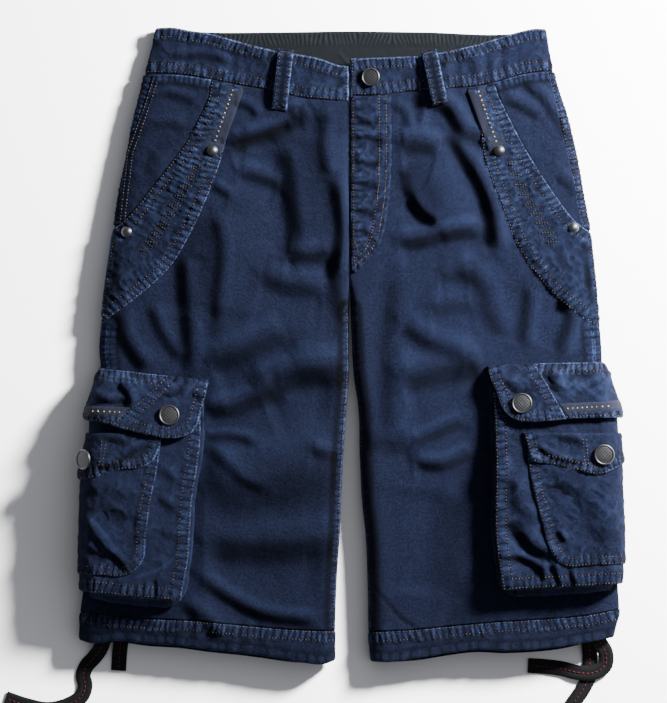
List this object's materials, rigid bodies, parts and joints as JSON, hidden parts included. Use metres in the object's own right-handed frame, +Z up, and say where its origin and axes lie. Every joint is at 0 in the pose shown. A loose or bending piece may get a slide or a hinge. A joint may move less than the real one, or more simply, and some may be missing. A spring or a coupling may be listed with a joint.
{
  "type": "cargo shorts",
  "caption": "Knee-length cotton cargo shorts laid flat with the front up: hollow legs, slanted hip pockets, bellows side pockets with snapped flaps and drawtapes at the hems.",
  "frame": {"origin": "centre of the underside of the shorts' bounding box, without the drawtapes, on the surface that they lie on", "axes": "+X to the right as the front is seen, +Y towards the waist, +Z up, out of the front"},
  "size_m": [0.6233, 0.7079, 0.0508],
  "materials": {
    "navy_twill": "garment-dyed cotton twill, matt",
    "navy_twill_worn": "the same twill, washed paler along seams and edges",
    "dark_facing": "dark facing with an overlocked edge",
    "herringbone_tape": "herringbone cotton tape with contrast stitches",
    "antique_pewter": "antiqued metal"
  },
  "bodies": {
    "root": {"front_left": "navy_twill", "front_right": "navy_twill", "back_left": "navy_twill", "back_right": "navy_twill", "back_upper_left": "navy_twill", "back_upper_right": "navy_twill", "fly_front": "navy_twill", "hip_facing_left": "navy_twill", "hip_facing_right": "navy_twill", "cargo_face_left": "navy_twill", "cargo_face_right": "navy_twill", "cargo_gusset_left": "navy_twill", "cargo_gusset_right": "navy_twill", "patch_pocket_left": "navy_twill", "patch_pocket_right": "navy_twill", "flap_corner_left": "navy_twill", "flap_corner_right": "navy_twill", "waistband_front_left": "navy_twill_worn", "waistband_front_right": "navy_twill_worn", "waistband_back": "navy_twill_worn", "belt_loop_left": "navy_twill_worn", "belt_loop_right": "navy_twill_worn", "pocket_band_left": "navy_twill_worn", "pocket_band_right": "navy_twill_worn", "side_strip_left": "navy_twill_worn", "side_strip_right": "navy_twill_worn", "cargo_flap_left": "navy_twill_worn", "cargo_flap_right": "navy_twill_worn", "patch_flap_left": "navy_twill_worn", "patch_flap_right": "navy_twill_worn", "hem_left": "navy_twill_worn", "hem_right": "navy_twill_worn", "waistband_facing": "dark_facing", "hip_tape_left": "herringbone_tape", "hip_tape_right": "herringbone_tape", "flap_tape_left": "herringbone_tape", "flap_tape_right": "herringbone_tape", "drawtape_left_long": "herringbone_tape", "drawtape_left_short": "herringbone_tape", "drawtape_right_long": "herringbone_tape", "drawtape_right_short": "herringbone_tape", "waist_button": "antique_pewter", "flap_button_left": "antique_pewter", "flap_button_right": "antique_pewter", "patch_button_left": "antique_pewter", "patch_button_right": "antique_pewter", "tape_rivet_left": "antique_pewter", "tape_rivet_right": "antique_pewter", "pocket_rivet_left": "antique_pewter", "pocket_rivet_right": "antique_pewter"}
  },
  "joints": []
}
